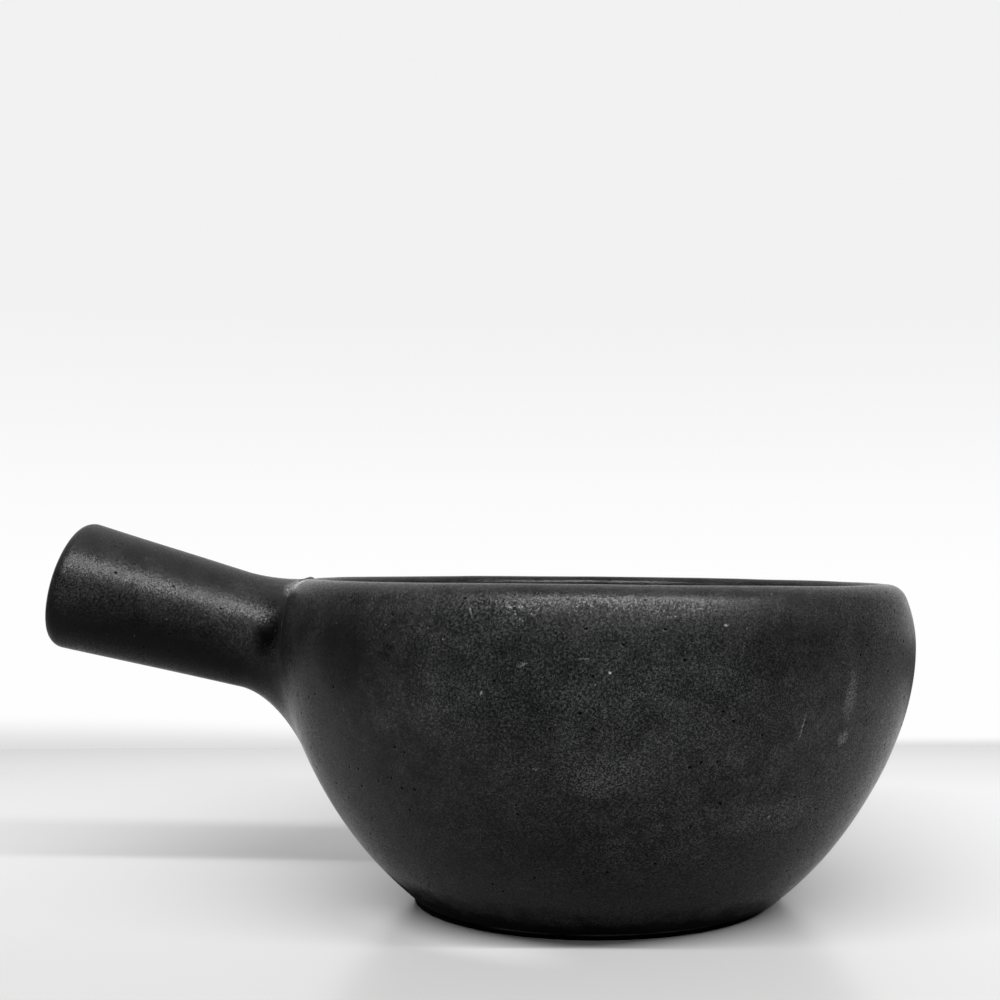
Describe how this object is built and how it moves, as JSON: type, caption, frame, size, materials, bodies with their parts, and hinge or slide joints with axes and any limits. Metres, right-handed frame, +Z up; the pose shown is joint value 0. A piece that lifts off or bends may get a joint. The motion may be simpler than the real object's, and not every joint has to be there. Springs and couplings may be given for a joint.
{
  "type": "single-handled clay pot",
  "caption": "Black clay bowl-pot with a full belly, a rounded lip, a low foot ring and a hollow tube handle that flares and slopes upwards from the rim.",
  "frame": {"origin": "centre of the foot ring's lower face, on the bowl's axis", "axes": "+Z up along the bowl's axis, -X towards the handle's end, +Y to the far side of the handle as pictured"},
  "size_m": [0.2734, 0.2, 0.1193],
  "materials": {
    "black_clay": "burnished satin black, fine grained, with pinholes and scuffs",
    "joint_slip": "matt, dried slip"
  },
  "bodies": {
    "root": {"bowl": "black_clay", "foot_slip": "joint_slip", "foot_ring": "black_clay", "handle_slip": "joint_slip", "handle": "black_clay", "handle_collar": "black_clay"}
  },
  "joints": []
}
